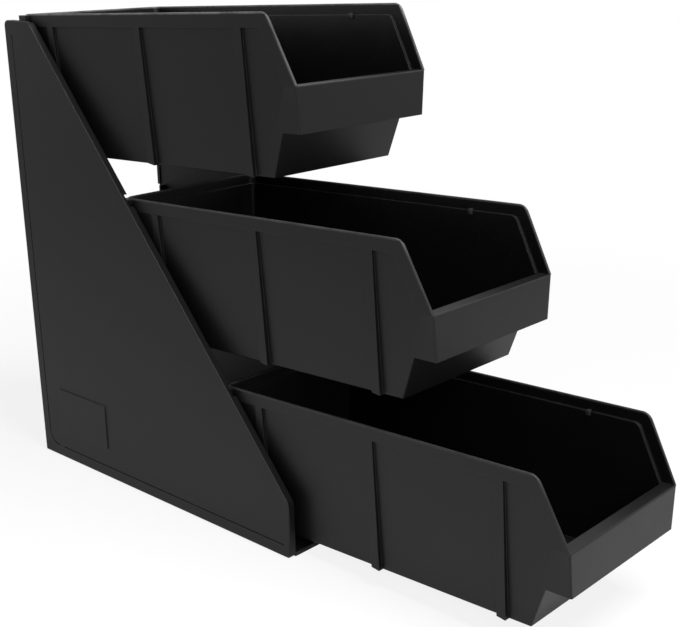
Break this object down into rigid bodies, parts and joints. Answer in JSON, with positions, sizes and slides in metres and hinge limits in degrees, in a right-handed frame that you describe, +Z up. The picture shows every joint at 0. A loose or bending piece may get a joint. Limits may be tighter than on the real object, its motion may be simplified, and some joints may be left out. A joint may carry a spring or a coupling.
{
  "type": "tilting bin stand",
  "caption": "Counter stand with slanted side panels that carries stepped open-fronted bins, each tilting up on ears at its rear rim.",
  "frame": {"origin": "middle of the whole part's footprint, on the surface that its four pads stand on", "axes": "+Z up; the bins' mouths face -Y; the stand's back edges face +Y; +X is to the right seen from the mouths"},
  "size_m": [0.1536, 0.5526, 0.3957],
  "materials": {
    "stand_plastic": "fine satin moulded black",
    "bin_plastic": "fine satin moulded black",
    "pad_rubber": "matt black"
  },
  "bodies": {
    "stand": {"side_panel_left": "stand_plastic", "side_panel_right": "stand_plastic", "base_plate": "stand_plastic", "back_bar_middle": "stand_plastic", "back_bar_top": "stand_plastic", "rest_rail_lower": "stand_plastic", "rest_rail_middle": "stand_plastic", "rest_rail_upper": "stand_plastic", "foot_pad_1": "pad_rubber", "foot_pad_2": "pad_rubber", "foot_pad_3": "pad_rubber", "foot_pad_4": "pad_rubber"},
    "lower_bin": {"bin_lower": "bin_plastic"},
    "middle_bin": {"bin_middle": "bin_plastic"},
    "upper_bin": {"bin_upper": "bin_plastic"}
  },
  "joints": [
    {"name": "lower_bin_tilt", "type": "hinge", "parent": "stand", "child": "lower_bin", "pos_m": [0, 0.02839, 0.1174], "axis": [-1, 0, 0], "range_deg": [0, 7.5]},
    {"name": "middle_bin_tilt", "type": "hinge", "parent": "stand", "child": "middle_bin", "pos_m": [0, 0.13731, 0.2475], "axis": [-1, 0, 0], "range_deg": [0, 9.5]},
    {"name": "upper_bin_tilt", "type": "hinge", "parent": "stand", "child": "upper_bin", "pos_m": [0, 0.25461, 0.3816], "axis": [-1, 0, 0], "range_deg": [0, 35]}
  ]
}
